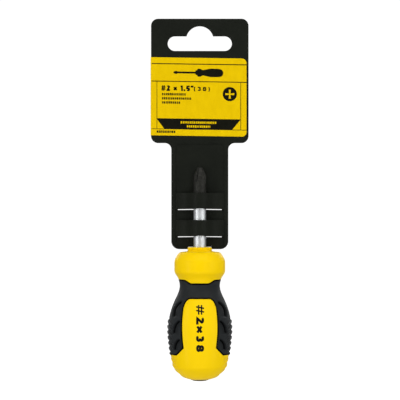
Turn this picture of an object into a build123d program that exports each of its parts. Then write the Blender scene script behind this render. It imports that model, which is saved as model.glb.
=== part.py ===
from build123d import *

import os

# Stubby cross-point screwdriver, held blade up by a flat plastic hanger.
# Millimetres. +Z is up, the hanger's front faces -Y, +X is to the right seen from the front.
# The origin is the middle of the hanger's slot, on the card's back face.

# Hanger card, heights above the slot's middle
CARD_THICKNESS = 1.4
PANEL_OVERLAP = 10.0
CARD_EDGE_ROUND = 0.25
HEAD_WIDTH = 46.75
HEAD_TOP = 11.95
HEAD_BOTTOM = -47.65
HEAD_CORNER = 3.4
PANEL_WIDTH = 27.3
PANEL_BOTTOM = -98.5
PANEL_CORNER = 3.8
NECK_FILLET = 3.1

# Recessed field of the lower panel
FIELD_WIDTH = 23.2
FIELD_DEPTH = 0.4
FIELD_TOP = -47.9
FIELD_BOTTOM = -97.7
FIELD_CORNER = 1.9

# Hang slot: a round-ended slot with a dome over its middle
SLOT_WIDTH = 30.75
SLOT_HEIGHT = 7.0
DOME_RADIUS = 6.6
DOME_TOP = 8.33

# Straps over the blade, and the window through the card behind each
STRAP_TOPS = (-71.46, -84.5)
STRAP_HEIGHT = 7.78
STRAP_FOOT = 1.1
STRAP_EDGE_ROUND = 0.2
STRAP_ROUND_FROM = 2.0
STRAP_ARCH_END = 0.15
STRAP_ARCH_MIDDLE = 0.34
WINDOW_BELOW_STRAP = 0.37
WINDOW_HIDDEN_TOP = 0.6
WINDOW_END_DROP = 0.12
WINDOW_LEVEL_HALF = 2.95

# Strap's bell-shaped section as (distance from the middle, height off the field's face)
STRAP_OUTSIDE = ((0, 7.4), (2.2, 6.85), (3.6, 5.7), (5.0, 4.0), (6.8, 2.3), (9.0, 1.25), (11.6, 0.95))
STRAP_INSIDE = ((0, 6.5), (1.85, 6.05), (2.95, 5.1), (4.2, 3.55), (6.1, 1.75), (8.5, 0.5), (10.5, 0))

# Wrap label
LABEL_THICKNESS = 0.2
LABEL_TOP = -6.5
LABEL_BOTTOM = -44.6
LABEL_MARGIN = 0.975
LABEL_CORNER = 2.2
LABEL_FOLD = 0.2

# Blade, heights above the collar's top face
BLADE_RADIUS = 3.0
BLADE_GAP = 0.25
TIP_HEIGHT = 38.4
TIP_END_RADIUS = 1.3
TIP_END_DEPTH = 0.45
TIP_CONE_DEPTH = 3.9
FLUTE_DEPTH = 9.0
FLUTE_START = 0.85
FLUTE_TURN = 13.0
TAIL_DEPTH = 42.0
FLUTE_LEAD = 0.2
FLUTE_LENGTH = 1.3
FLUTE_EXIT = 0.1
FLUTE_FAR = 9.0
FLUTE_FLANK = 5.0
WING_SPAN = 8.6
WING_THICKNESS = 1.6
WING_HEIGHT = 7.0
WING_DEPTH = 34.0

# Handle, heights below the collar's top face are negative
COLLAR_HEIGHT = -97.5
COLLAR_RADIUS = 5.85
NOTCH_CLEARANCE = 0.1
NOTCH_NARROWER = 0.3

# Handle's outline from the collar down, as (radius, height)
COLLAR_OUTLINE = ((5.45, 0), (COLLAR_RADIUS, -0.35), (COLLAR_RADIUS, -1.2), (5.7, -1.65), (6.3, -2.0))
SHOULDER_OUTLINE = ((9.4, -2.35), (10.9, -3.95), (12.13, -7.4))
BALL_BOTTOM = (12.13, -11.2)
UNDER_BALL = (11.42, -13.1)
GRIP_OUTLINE = (
    (10.2, -15.3),
    (9.62, -17.9),
    (11.85, -25.0),
    (14.25, -31.7),
    (15.2, -38.6),
    (14.9, -44.1),
    (13.98, -51.4),
    (13.0, -56.5),
)
BUTT_OUTLINE = ((11.1, -59.4), (7.75, -62.15), (4.5, -63.2))
BUTT_LEAN = (-1, -0.24)

# Soft grip
GRIP_THICKNESS = 1.6
GRIP_TOP = -15.3
GRIP_BOTTOM = -51.25
TONGUE_HALF_WIDTH = 4.35
TONGUE_TOP_HALF_WIDTH = 7.2
TONGUE_BOTTOM = -17.0
WINDOW_TOP = -24.4
WINDOW_HALF_WIDTH = 8.38
WINDOW_WIDEST = -36.5
WINDOW_SHOULDER_HALF_WIDTH = 7.85
WINDOW_SHOULDER = -29.4
WINDOW_LEAN = 0.12
WINDOW_FOOT_HALF_WIDTH = 7.7
WINDOW_FOOT = -47.6
PAD_FOOT_HALF_WIDTH = 11.1
TOOTH_COUNT = 7
TOOTH_FIRST = -35.0
TOOTH_PITCH = 2.6
TOOTH_HEIGHT = 0.45
TOOTH_CREST = 0.5
TOOTH_ROOT = 1.0
TOOTH_BAND_START = 11.8

# Core
CORE_RADIUS = 5.2
CORE_TOP = -6.0
CORE_END = -63.9
CORE_DOME = (3.45, -63.63)
CORE_FLAT_RADIUS = 2.0
CORE_STEP_LOW = -59.9
CORE_STEP_HIGH = -57.9
RIB_REACH = 7.4
RIB_THICKNESS = 2.0
RIB_TOP = -22.0
RIB_BOTTOM = -50.0

# Worked out from the above
FIELD_FACE = -(CARD_THICKNESS - FIELD_DEPTH)
BLADE_Y = FIELD_FACE - BLADE_GAP - BLADE_RADIUS
TOOL_PLACE = Location((0, BLADE_Y, COLLAR_HEIGHT))
FAR = 60.0
TOUCHING = 0.01


def grip_outline(inset):
    """Handle's side from the neck down to the butt, drawn that far inside the surface."""
    return Spline([(radius - inset, height) for radius, height in GRIP_OUTLINE])


def handle_envelope():
    """The whole handle turned as one body: collar, ball, neck, grip and butt."""
    side = grip_outline(0.0)
    collar = Polyline((0, 0), *COLLAR_OUTLINE, SHOULDER_OUTLINE[0])
    shoulder = Spline(SHOULDER_OUTLINE, tangents=((1.0, -0.6), (0, -1)))
    ball = Line(SHOULDER_OUTLINE[-1], BALL_BOTTOM)
    under_ball = Spline(BALL_BOTTOM, UNDER_BALL, side @ 0, tangents=((0, -1), side % 0))
    butt = Spline(side @ 1, *BUTT_OUTLINE, tangents=(side % 1, BUTT_LEAN))
    closing = Polyline(BUTT_OUTLINE[-1], (0, BUTT_OUTLINE[-1][1]), (0, 0))
    outline = collar + shoulder + ball + under_ball + side + butt + closing
    return revolve(Plane.XZ * make_face(outline), Axis.Z)


def under_grip():
    """What the soft grip is moulded over, between planes just beyond its two ends."""
    side = grip_outline(GRIP_THICKNESS)
    closing = Polyline(side @ 1, (0, (side @ 1).Y), (0, (side @ 0).Y), side @ 0)
    return revolve(Plane.XZ * make_face(side + closing), Axis.Z)


def grip_zone():
    """Front outline of the soft grip, run through the handle from front to back."""
    right = Polyline(
        (0, TONGUE_BOTTOM),
        (TONGUE_HALF_WIDTH, TONGUE_BOTTOM),
        (TONGUE_TOP_HALF_WIDTH, GRIP_TOP),
        (FAR, GRIP_TOP),
        (FAR, GRIP_BOTTOM),
        (PAD_FOOT_HALF_WIDTH, GRIP_BOTTOM),
        (WINDOW_FOOT_HALF_WIDTH, WINDOW_FOOT),
    )
    window_side = Spline(
        (WINDOW_FOOT_HALF_WIDTH, WINDOW_FOOT),
        (WINDOW_HALF_WIDTH, WINDOW_WIDEST),
        (WINDOW_SHOULDER_HALF_WIDTH, WINDOW_SHOULDER),
        tangents=((WINDOW_LEAN, 1), (-WINDOW_LEAN, 1)),
    )
    corner = Spline(
        window_side @ 1,
        (TONGUE_HALF_WIDTH, WINDOW_TOP),
        tangents=((-WINDOW_LEAN, 1), (-1, 0)),
    )
    top = Line((TONGUE_HALF_WIDTH, WINDOW_TOP), (0, WINDOW_TOP))
    half = right + window_side + corner + top + Line((0, WINDOW_TOP), (0, TONGUE_BOTTOM))
    face = make_face(half)
    zone = face + mirror(face, Plane.YZ)
    return extrude(Plane.XZ * zone, amount=FAR, both=True)


def tooth_ring(side, height):
    """Ring with sloping flanks and a narrow flat crest, rooted inside the grip."""
    level = Line((0, height), (FAR, height))
    surface = side.intersect(level).vertices()[0].X
    root = surface - TOOTH_ROOT
    crest = surface + TOOTH_HEIGHT
    outline = Polyline(
        (root, height + TOOTH_PITCH / 2),
        (crest, height + TOOTH_CREST / 2),
        (crest, height - TOOTH_CREST / 2),
        (root, height - TOOTH_PITCH / 2),
        close=True,
    )
    return revolve(Plane.XZ * make_face(outline), Axis.Z)


def teeth():
    """Ribs across the two side pads, in the pads' outer band only."""
    side = grip_outline(0.0)
    heights = [TOOTH_FIRST - index * TOOTH_PITCH for index in range(TOOTH_COUNT)]
    rings = [tooth_ring(side, height) for height in heights]
    middle = Box(2 * TOOTH_BAND_START, 2 * FAR, 4 * FAR)
    return Part() + rings - middle


def blade_bar():
    """Bar with a conical end, and the tail that the handle is moulded on."""
    cone_base = TIP_HEIGHT - TIP_END_DEPTH - TIP_CONE_DEPTH
    outline = Polyline(
        (0, TIP_HEIGHT),
        (TIP_END_RADIUS, TIP_HEIGHT - TIP_END_DEPTH),
        (BLADE_RADIUS, cone_base),
        (BLADE_RADIUS, -TAIL_DEPTH),
        (0, -TAIL_DEPTH),
        close=True,
    )
    return revolve(Plane.XZ * make_face(outline), Axis.Z)


def flute(turn):
    """One V groove of the cross point, running out of the bar below the cone."""
    run_out = Vector(BLADE_RADIUS + FLUTE_EXIT - FLUTE_START, 0, -FLUTE_DEPTH)
    start = Vector(FLUTE_START, 0, TIP_HEIGHT) - run_out * FLUTE_LEAD
    across = Plane(origin=start, x_dir=(0, 1, 0), z_dir=run_out)
    opening = Polyline(
        (0, 0),
        (FLUTE_FLANK, FLUTE_FLANK),
        (FLUTE_FLANK, FLUTE_FAR),
        (-FLUTE_FLANK, FLUTE_FAR),
        (-FLUTE_FLANK, FLUTE_FLANK),
        close=True,
    )
    groove = extrude(across * make_face(opening), amount=run_out.length * FLUTE_LENGTH)
    return groove.rotate(Axis.Z, turn)


def make_blade():
    """Round bar with a cross point and the wings that stop it turning in the handle."""
    bar = blade_bar()
    for quarter in range(4):
        bar -= flute(FLUTE_TURN + 45 + quarter * 90)
    wings = Box(WING_SPAN, WING_THICKNESS, WING_HEIGHT).moved(Location((0, 0, -WING_DEPTH)))
    return bar + wings


def make_core(blade):
    """Cross-ribbed bar that the blade's tail sits in, showing as a disc at the butt."""
    rim = BUTT_OUTLINE[-1]
    wall = Polyline(
        (0, CORE_END),
        (0, CORE_TOP),
        (CORE_RADIUS, CORE_TOP),
        (CORE_RADIUS, CORE_STEP_HIGH),
        (rim[0], CORE_STEP_LOW),
        rim,
    )
    foot = (CORE_FLAT_RADIUS, CORE_END)
    outline = wall + ThreePointArc(rim, CORE_DOME, foot) + Line(foot, (0, CORE_END))
    core = revolve(Plane.XZ * make_face(outline), Axis.Z)
    rib_height = RIB_TOP - RIB_BOTTOM
    middle = Location((0, 0, (RIB_TOP + RIB_BOTTOM) / 2))
    core += Box(2 * RIB_REACH, RIB_THICKNESS, rib_height).moved(middle)
    core += Box(RIB_THICKNESS, 2 * RIB_REACH, rib_height).moved(middle)
    return core - blade


def make_handle(blade, core):
    """Yellow shell and soft grip, which fill the handle between them."""
    envelope = handle_envelope()
    pocket = grip_zone() - under_grip()
    grip = (envelope + teeth()) & pocket
    shell = envelope - pocket - core - blade
    return shell, grip


def slot_face():
    """Hang slot with round ends and a dome over its middle."""
    slot = SlotOverall(SLOT_WIDTH, SLOT_HEIGHT)
    dome = Pos(0, DOME_TOP - DOME_RADIUS) * Circle(DOME_RADIUS)
    upper = Pos(0, DOME_TOP / 2) * Rectangle(SLOT_WIDTH, DOME_TOP)
    return slot + (dome & upper)


def card_outline():
    """Wide head and narrow panel, with filleted corners where they meet."""
    head_height = HEAD_TOP - HEAD_BOTTOM
    panel_height = HEAD_BOTTOM + PANEL_OVERLAP - PANEL_BOTTOM
    head = Pos(0, (HEAD_TOP + HEAD_BOTTOM) / 2) * RectangleRounded(HEAD_WIDTH, head_height, HEAD_CORNER)
    panel = Pos(0, PANEL_BOTTOM + panel_height / 2) * Rectangle(PANEL_WIDTH, panel_height)
    lower = panel.vertices().group_by(Axis.Y)[0]
    outline = head + fillet(lower, PANEL_CORNER)
    necks = [
        vertex
        for vertex in outline.vertices()
        if abs(vertex.Y - HEAD_BOTTOM) < TOUCHING and abs(abs(vertex.X) - PANEL_WIDTH / 2) < TOUCHING
    ]
    return fillet(necks, NECK_FILLET)


def bell(points, back):
    """Face between a bell-shaped curve through the points and a straight back."""
    right = [(x, FIELD_FACE - height) for x, height in points]
    left = [(-x, y) for x, y in reversed(right[1:])]
    curve = Spline(left + right)
    closing = Polyline(curve @ 1, (points[-1][0], back), (-points[-1][0], back), curve @ 0)
    return make_face(curve + closing)


def under_strap():
    """Cutter that arches a strap's lower edge, with its top at height 0 beside the blade."""
    half = FIELD_WIDTH / 2
    level = WINDOW_LEVEL_HALF
    arch = ThreePointArc((-level, 0), (0, STRAP_ARCH_MIDDLE), (level, 0))
    below = Polyline(
        (level, 0),
        (half, -STRAP_ARCH_END),
        (half, -STRAP_HEIGHT),
        (-half, -STRAP_HEIGHT),
        (-half, -STRAP_ARCH_END),
        (-level, 0),
    )
    return extrude(Plane.XZ * make_face(arch + below), amount=FAR, both=True)


def strap(top):
    """Band that bulges forward over the blade, open at the back for it."""
    lift = STRAP_ARCH_END
    band = extrude(bell(STRAP_OUTSIDE, FIELD_FACE), amount=STRAP_HEIGHT + lift)
    band = band.moved(Location((0, 0, -lift))) - under_strap()
    front_edges = band.edges().filter_by(lambda edge: edge.center().Y < FIELD_FACE - STRAP_ROUND_FROM)
    band = fillet(front_edges, STRAP_EDGE_ROUND)
    hollow = extrude(bell(STRAP_INSIDE, 0), amount=2 * STRAP_HEIGHT)
    band -= hollow.moved(Location((0, 0, -STRAP_HEIGHT / 2)))
    return band.moved(Location((0, 0, top - STRAP_HEIGHT)))


def strap_window(top):
    """Opening through the card behind a strap, with a slit left in view below it."""
    half = FIELD_WIDTH / 2 - STRAP_FOOT
    high = top - WINDOW_HIDDEN_TOP
    low = top - STRAP_HEIGHT - WINDOW_BELOW_STRAP
    outline = Polyline(
        (-half, high),
        (half, high),
        (half, low - WINDOW_END_DROP),
        (WINDOW_LEVEL_HALF, low),
        (-WINDOW_LEVEL_HALF, low),
        (-half, low - WINDOW_END_DROP),
        close=True,
    )
    return extrude(Plane.XZ * make_face(outline), amount=2 * CARD_THICKNESS, both=True)


def make_hanger():
    """Card with its slot, recessed field, two straps and a notch over the collar."""
    plate = extrude(Plane.XZ * (card_outline() - slot_face()), amount=CARD_THICKNESS)
    middle = -CARD_THICKNESS / 2
    rims = plate.edges().filter_by(
        lambda edge: abs(abs(edge.center().Y - middle) + middle) < TOUCHING
    )
    plate = fillet(rims, CARD_EDGE_ROUND)
    field_height = FIELD_TOP - FIELD_BOTTOM
    field = RectangleRounded(FIELD_WIDTH, field_height, FIELD_CORNER)
    field = Pos(0, (FIELD_TOP + FIELD_BOTTOM) / 2) * field
    recess = extrude(Plane.XZ * field, amount=CARD_THICKNESS)
    plate -= recess.moved(Location((0, FIELD_FACE, 0)))
    for top in STRAP_TOPS:
        plate -= strap_window(top)
        plate += strap(top)
    notch_top = COLLAR_HEIGHT + NOTCH_CLEARANCE
    notch = Box(2 * (COLLAR_RADIUS - NOTCH_NARROWER), 4 * CARD_THICKNESS, FAR)
    plate -= notch.moved(Location((0, 0, notch_top - FAR / 2)))
    return plate


def make_label():
    """Sheet folded round the card's left edge, with rounded free corners on the right."""
    left = -HEAD_WIDTH / 2 - LABEL_THICKNESS
    right = HEAD_WIDTH / 2 - LABEL_MARGIN
    height = LABEL_TOP - LABEL_BOTTOM
    wrap = Rectangle(right - left, CARD_THICKNESS + 2 * LABEL_THICKNESS)
    wrap = Pos((left + right) / 2, -CARD_THICKNESS / 2) * wrap
    folds = wrap.vertices().group_by(Axis.X)[0]
    wrap = fillet(folds, LABEL_FOLD + LABEL_THICKNESS)
    inside = Rectangle(2 * HEAD_WIDTH, CARD_THICKNESS)
    inside = Pos(HEAD_WIDTH / 2, -CARD_THICKNESS / 2) * inside
    inside = fillet(inside.vertices().group_by(Axis.X)[0], LABEL_FOLD)
    sheet = extrude(wrap - inside, amount=height).moved(Location((0, 0, LABEL_BOTTOM)))
    corners = sheet.edges().filter_by(Axis.Y).group_by(Axis.X)[-1]
    return fillet(corners, LABEL_CORNER)


def main():
    blade = make_blade()
    core = make_core(blade)
    shell, grip = make_handle(blade, core)
    nodes = {
        "hanger_card": make_hanger(),
        "wrap_label": make_label(),
        "blade": blade.moved(TOOL_PLACE),
        "handle_core": core.moved(TOOL_PLACE),
        "handle_shell": shell.moved(TOOL_PLACE),
        "soft_grip": grip.moved(TOOL_PLACE),
    }
    os.makedirs("parts", exist_ok=True)
    for name, solid in nodes.items():
        export_step(solid, f"parts/{name}.step")


main()
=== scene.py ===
"""Looks of the stubby screwdriver on its hanging card. Works in millimetres, and meshes go out in metres."""

import math

import bmesh
import bpy
import numpy as np
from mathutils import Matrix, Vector


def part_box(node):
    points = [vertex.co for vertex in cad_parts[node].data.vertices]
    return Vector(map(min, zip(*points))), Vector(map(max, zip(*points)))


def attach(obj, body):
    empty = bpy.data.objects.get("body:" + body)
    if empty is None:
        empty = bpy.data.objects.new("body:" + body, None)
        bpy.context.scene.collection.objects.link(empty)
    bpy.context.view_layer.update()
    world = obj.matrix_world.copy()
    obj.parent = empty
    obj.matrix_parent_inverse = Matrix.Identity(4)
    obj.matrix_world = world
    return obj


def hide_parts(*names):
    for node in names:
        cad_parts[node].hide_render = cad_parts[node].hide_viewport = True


MM = 0.001
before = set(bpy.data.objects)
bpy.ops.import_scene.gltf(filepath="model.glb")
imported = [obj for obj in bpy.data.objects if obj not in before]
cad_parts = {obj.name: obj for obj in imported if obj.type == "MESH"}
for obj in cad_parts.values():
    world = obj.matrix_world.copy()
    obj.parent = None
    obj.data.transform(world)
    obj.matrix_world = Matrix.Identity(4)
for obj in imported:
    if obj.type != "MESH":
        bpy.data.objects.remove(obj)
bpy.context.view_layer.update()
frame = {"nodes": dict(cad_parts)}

# ---------------------------------------------------------------- places in the frame
shell_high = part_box("handle_shell")[1]
blade_low, blade_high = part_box("blade")
label_low, label_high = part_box("wrap_label")
AXIS_Y = (blade_low.y + blade_high.y) / 2 / MM
COLLAR_Z = shell_high.z / MM
TOOL = np.array([0.0, AXIS_Y, COLLAR_Z])

# ---------------------------------------------------------------- handle shape
# Outline as (radius, height), with heights below the collar's top face
COLLAR = [(5.45, 0.0), (5.85, -0.35), (5.85, -1.2), (5.7, -1.65), (6.3, -2.0), (9.4, -2.35)]
SHOULDER = [(9.4, -2.35), (10.9, -3.95), (12.13, -7.4)]
BALL_LOW = (12.13, -11.2)
UNDER_BALL = [BALL_LOW, (11.42, -13.1), (10.2, -15.3)]
SIDE = [
    (10.2, -15.3), (9.62, -17.9), (11.85, -25.0), (14.25, -31.7),
    (15.2, -38.6), (14.9, -44.1), (13.98, -51.4), (13.0, -56.5),
]
BUTT = [(13.0, -56.5), (11.1, -59.4), (7.75, -62.15), (4.5, -63.2)]
BUTT_LEAN = (-1, -0.24)
COLLAR_ROUND = 0.16

# Hole in the shell: for the blade, then the core, then the core's narrower foot
BORE, CORE = 3.03, 5.23
BORE_END, CORE_STEP_HIGH, CORE_STEP_LOW = -6.0, -57.9, -59.9

# Grip: its ends, the shell's tongue into its top, the window, and the pads' feet
GRIP_TOP, GRIP_FOOT = -15.3, -51.25
GRIP_DEPTH, POCKET_GAP = 1.6, 0.02
TONGUE, TONGUE_TOP, TONGUE_LOW, TONGUE_PAST, TONGUE_ROUND = 4.35, 7.2, -17.0, 8.6, 0.6
WINDOW_TOP, WINDOW_LEAN = -24.4, 0.12
WINDOW_SIDE = [(7.7, -47.6), (8.38, -36.5), (7.85, -29.4)]
PAD_FOOT, PAD_ROUND = 11.1, 0.9

# Rolled edges where grip and shell meet: how wide and how deep, and mesh rows crowded there
GRIP_ROLL, GRIP_DROP = 0.5, 0.17
SHELL_ROLL, SHELL_DROP = 0.34, 0.2
EDGE_STEPS = (0.04, 0.1, 0.18, 0.29, 0.44)

# The looks stay this far inside the CAD surface
SKIN = 0.03

# Mesh rows: ball, across the grip's quarter, and down its parts from the window's top to the foot
BALL_STEPS, ACROSS = 12, 48
N_FRONT, N_CORNER, N_SHOULDER, N_FLANK, N_RIBS, N_FOOT = 12, 11, ACROSS, 42, 76, 20
FLANK_END, RIBS_END = -33.4, -47.9
N_NECK, NECK_LENGTH, N_BUTT = 16, 3.0, 58
CORE_RINGS = (-40.0, -22.0)

# Rows over which the crowding at the far edge ends, and how sharply the shoulder's row bends at the tongue
UNCROWD_ROWS, SHOULDER_BEND = 6, 12

# Points of the border along each of its three parts, and how many are measured against it at a time
BORDER_POINTS, MEASURED_AT_ONCE = 900, 4000

# Ribs round the grip's sides: where, how slanted, their crests and the valleys between, with painted shade
# in the valleys
RIB_FIRST, RIB_PITCH, RIB_COUNT, RIB_HEIGHT = -35.0, 2.6, 7, 0.45
RIB_SLANT, RIB_CREST, RIB_FALL = 0.3, 0.16, 0.46
RIB_VALLEY, VALLEY_FROM, VALLEY_FALL, VALLEY_RISE, VALLEY_SHADE = 0.2, 0.5, 0.7, 0.5, 0.5
RIB_BAND, BAND_SLOW, BAND_FAST, BAND_SLOW_SHARE = 12.5, 1.4, 0.3, 0.75

# Thumb scoops as (x, height) from top to bottom, each a lip, a pocket and a groove along the lip
SCALLOPS = (
    [(8.0, -25.2), (9.9, -26.4), (12.0, -28.9), (12.6, -33.5)],
    [(8.9, -34.2), (10.4, -35.1), (12.0, -37.2), (12.7, -41.2)],
    [(9.1, -43.0), (10.4, -43.9), (11.8, -45.8), (12.2, -49.0)],
)
# Painted shade in each scoop: SCALLOP_SHADE is how dark its pocket is painted, GROOVE_SHADE how wide the
# dark line painted along its groove
SCALLOP_DEPTH, SCALLOP_FADE, SCALLOP_LIP, SCALLOP_SHADE = 0.55, 4.2, 0.5, 0.35
SCALLOP_START, SCALLOP_LAST = 0.22, 0.88
GROOVE_DEPTH, GROOVE_AT, GROOVE_HALF, GROOVE_SHADE = 0.45, 0.1, 0.65, 0.85

# Painted shade darkens the grip beside its border with the shell: from where, and over how far
BORDER_SHADE = (0.45, 0.55)

# Low waves that carry the ribs on down the sides of the butt
WAVE_FIRST, WAVE_PITCH, WAVE_HEIGHT, WAVE_SINK = -53.4, 2.75, 0.17, 0.05
WAVE_SIDE, WAVE_SIDE_FADE, WAVE_START, WAVE_END = 0.8, 0.14, -51.75, -62.9


# ---------------------------------------------------------------- curves
def smooth_curve(points, start=None, end=None, per=40):
    """Cubic spline through 2-D points, with optional end directions, as dense points."""
    p = np.array(points, float)
    t = np.concatenate([[0], np.cumsum(np.linalg.norm(np.diff(p, axis=0), axis=1))])
    n, h = len(p), np.diff(t)
    a, b = np.zeros((n, n)), np.zeros((n, 2))
    for i in range(1, n - 1):
        a[i, i - 1], a[i, i], a[i, i + 1] = 1 / h[i - 1], 2 / h[i - 1] + 2 / h[i], 1 / h[i]
        b[i] = 3 * ((p[i] - p[i - 1]) / h[i - 1] ** 2 + (p[i + 1] - p[i]) / h[i] ** 2)
    for row, near, toward, far, step in ((0, 0, start, 1, h[0]), (n - 1, n - 1, end, n - 2, h[-1])):
        if toward is None:
            a[row, near], a[row, far] = 2, 1
            b[row] = 3 * (p[1] - p[0] if row == 0 else p[-1] - p[-2]) / step
        else:
            a[row, near] = 1
            b[row] = np.array(toward, float) / np.linalg.norm(toward)
    m = np.linalg.solve(a, b)
    out = []
    for i in range(n - 1):
        s = np.linspace(0, 1, per, endpoint=i == n - 2)[:, None]
        out.append(
            (2 * s**3 - 3 * s**2 + 1) * p[i] + (s**3 - 2 * s**2 + s) * h[i] * m[i]
            + (3 * s**2 - 2 * s**3) * p[i + 1] + (s**3 - s**2) * h[i] * m[i + 1]
        )
    return np.vstack(out)


def slope(curve, at_end):
    d = curve[-1] - curve[-2] if at_end else curve[1] - curve[0]
    return d / np.linalg.norm(d)


def rounded(points, reach, steps=5):
    """A polyline with its inner corners rounded."""
    p = [np.array(q, float) for q in points]
    out = [p[0]]
    for before, corner, after in zip(p, p[1:], p[2:]):
        a, b = before - corner, after - corner
        r = min(reach, np.linalg.norm(a) * 0.45, np.linalg.norm(b) * 0.45)
        a, b = corner + a / np.linalg.norm(a) * r, corner + b / np.linalg.norm(b) * r
        for s in np.linspace(0, 1, steps):
            out.append((1 - s) ** 2 * a + 2 * s * (1 - s) * corner + s**2 * b)
    out.append(p[-1])
    return np.array(out)


def length_of(curve):
    return np.concatenate([[0], np.cumsum(np.linalg.norm(np.diff(curve, axis=0), axis=1))])


def along(curve, share):
    """Points of a polyline at shares of its length."""
    run = length_of(curve)
    at = np.asarray(share) * run[-1]
    return np.stack([np.interp(at, run, curve[:, k]) for k in range(curve.shape[1])], -1)


def spread(count, total, near=True, far=True, weight=1.0):
    """Shares from 0 to 1, crowded at the ends that are moulded edges."""
    first = [s / total for s in EDGE_STEPS] if near else []
    last = [1 - s / total for s in reversed(EDGE_STEPS)] if far else []
    inner = count - 1 - len(first) - len(last)
    low, high = (first[-1] if first else 0.0), (last[0] if last else 1.0)
    crowded = np.array([0.0, *first, *np.linspace(low, high, inner + 2)[1:-1], *last, 1.0])
    return crowded * weight + np.linspace(0, 1, count + 1) * (1 - weight)


side_curve = smooth_curve(SIDE)
under_curve = smooth_curve(UNDER_BALL, (0, -1), slope(side_curve, False))
shoulder_curve = smooth_curve(SHOULDER, (1, -0.6), (0, -1))
butt_curve = smooth_curve(BUTT, slope(side_curve, True), BUTT_LEAN)
ball_curve = np.linspace(SHOULDER[-1], BALL_LOW, BALL_STEPS)
outline = np.vstack([shoulder_curve, ball_curve[1:], under_curve[1:], side_curve[1:], butt_curve[1:]])


def radius(z):
    return np.interp(-np.asarray(z), -outline[:, 1], outline[:, 0]) - SKIN


def place(angle, z, r):
    """Points of the handle's front right quarter: angle from the front, towards +X."""
    return np.stack([r * np.sin(angle), -r * np.cos(angle), z + 0 * angle], -1)


def angle_of(x, z):
    return np.arcsin(np.clip(x / radius(z), -1, 1))


# ---------------------------------------------------------------- the grip's two borders
window_side = smooth_curve(WINDOW_SIDE, (WINDOW_LEAN, 1), (-WINDOW_LEAN, 1))
window_corner = smooth_curve([WINDOW_SIDE[-1], (TONGUE, WINDOW_TOP)], (-WINDOW_LEAN, 1), (-1, 0))
corner_down = window_corner[::-1]
half = len(corner_down) // 2
top_of_window = np.vstack([[(0, WINDOW_TOP)], corner_down[: half + 1]])
side_of_window = np.vstack([corner_down[half:], window_side[::-1][1:]])
pad_slant = rounded([side_of_window[-2], side_of_window[-1], (PAD_FOOT, GRIP_FOOT)], PAD_ROUND)
foot_line = np.vstack([side_of_window[:-2], pad_slant])


def split_at(curve, height):
    """Splits a falling curve at a height."""
    k = int(np.argmax(curve[:, 1] < height))
    a, b = curve[k - 1], curve[k]
    cut = a + (b - a) * (height - a[1]) / (b[1] - a[1])
    return np.vstack([curve[:k], [cut]]), np.vstack([[cut], curve[k:]])


upper_side, rest_side = split_at(foot_line, FLANK_END)
rib_side, low_side = split_at(rest_side, RIBS_END)
front_total = length_of(top_of_window)[-1]
n_top = N_FRONT + N_CORNER
inner_top = along(top_of_window, spread(n_top, front_total, near=False))
upper_length = length_of(upper_side)[-1]
n_upper = N_SHOULDER + N_FLANK
inner_upper = along(upper_side, spread(n_upper, upper_length, far=False))
rib_heights = np.linspace(FLANK_END, RIBS_END, N_RIBS + 1)
inner_ribs = np.stack([np.interp(-rib_heights, -rib_side[:, 1], rib_side[:, 0]), rib_heights], -1)
foot_shares = spread(N_FOOT, length_of(low_side)[-1], near=False)
inner_foot = along(low_side, foot_shares)
inner_xz = np.vstack([inner_top, inner_upper[1:], inner_ribs[1:], inner_foot[1:]])
inner_angle = angle_of(inner_xz[:, 0], inner_xz[:, 1])

tongue_line = [(0, TONGUE_LOW), (TONGUE, TONGUE_LOW), (TONGUE_TOP, GRIP_TOP), (TONGUE_PAST, GRIP_TOP)]
tongue_edge = rounded(tongue_line, TONGUE_ROUND)
tongue_edge = np.stack([angle_of(tongue_edge[:, 0], tongue_edge[:, 1]), tongue_edge[:, 1]], -1)
edge_split = angle_of(TONGUE_TOP, GRIP_TOP)
keep = tongue_edge[:, 0] <= edge_split
outer_top = along(tongue_edge[keep], np.linspace(0, 1, n_top + 1))
outer_shoulder = np.stack(
    [np.linspace(outer_top[-1, 0], math.pi / 2, N_SHOULDER + 1), np.full(N_SHOULDER + 1, GRIP_TOP)], -1
)
outer_shoulder[:, 1] += (outer_top[-1, 1] - GRIP_TOP) * np.linspace(1, 0, N_SHOULDER + 1) ** SHOULDER_BEND
flank_shares = spread(N_FLANK, GRIP_TOP - FLANK_END, far=False)
flank_heights = GRIP_TOP + flank_shares * (FLANK_END - GRIP_TOP)
foot_heights = RIBS_END + foot_shares * (GRIP_FOOT - RIBS_END)
below = np.concatenate([flank_heights[1:], rib_heights[1:], foot_heights[1:]])
outer_side = np.stack([np.full(len(below), math.pi / 2), below], -1)
outer_edge = np.vstack([outer_top, outer_shoulder[1:], outer_side])
FLANK_ROW = n_top + N_SHOULDER

assert len(inner_xz) == len(outer_edge)


def grip_grid():
    """Angles and heights of the grip's quarter, row by row along it."""
    angles, heights = [], []
    for row, (inner, outer) in enumerate(zip(inner_xz, outer_edge)):
        start = np.array([inner_angle[row], inner[1]])
        mean = (radius(start[1]) + radius(outer[1])) / 2
        width = math.hypot((outer[0] - start[0]) * mean, outer[1] - start[1])
        both = spread(ACROSS, width)
        one = spread(ACROSS, width, far=False)
        far = np.clip((row - FLANK_ROW) / UNCROWD_ROWS, 0, 1)
        share = both * (1 - far) + one * far
        angles.append(start[0] + (outer[0] - start[0]) * share)
        heights.append(start[1] + (outer[1] - start[1]) * share)
    return np.array(angles), np.array(heights)


grip_angle, grip_height = grip_grid()


def border_points():
    """The moulded border between grip and shell, as dense 3-D points."""
    top_row = np.stack([grip_angle[: FLANK_ROW + 1, -1], grip_height[: FLANK_ROW + 1, -1]], -1)
    pieces = []
    for path in (np.stack([inner_angle, inner_xz[:, 1]], -1), top_row,
                 np.stack([grip_angle[-1], grip_height[-1]], -1)):
        dense = along(path, np.linspace(0, 1, BORDER_POINTS))
        pieces.append(place(dense[:, 0], dense[:, 1], radius(dense[:, 1])))
    return np.vstack(pieces)


BORDER = border_points()


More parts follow.
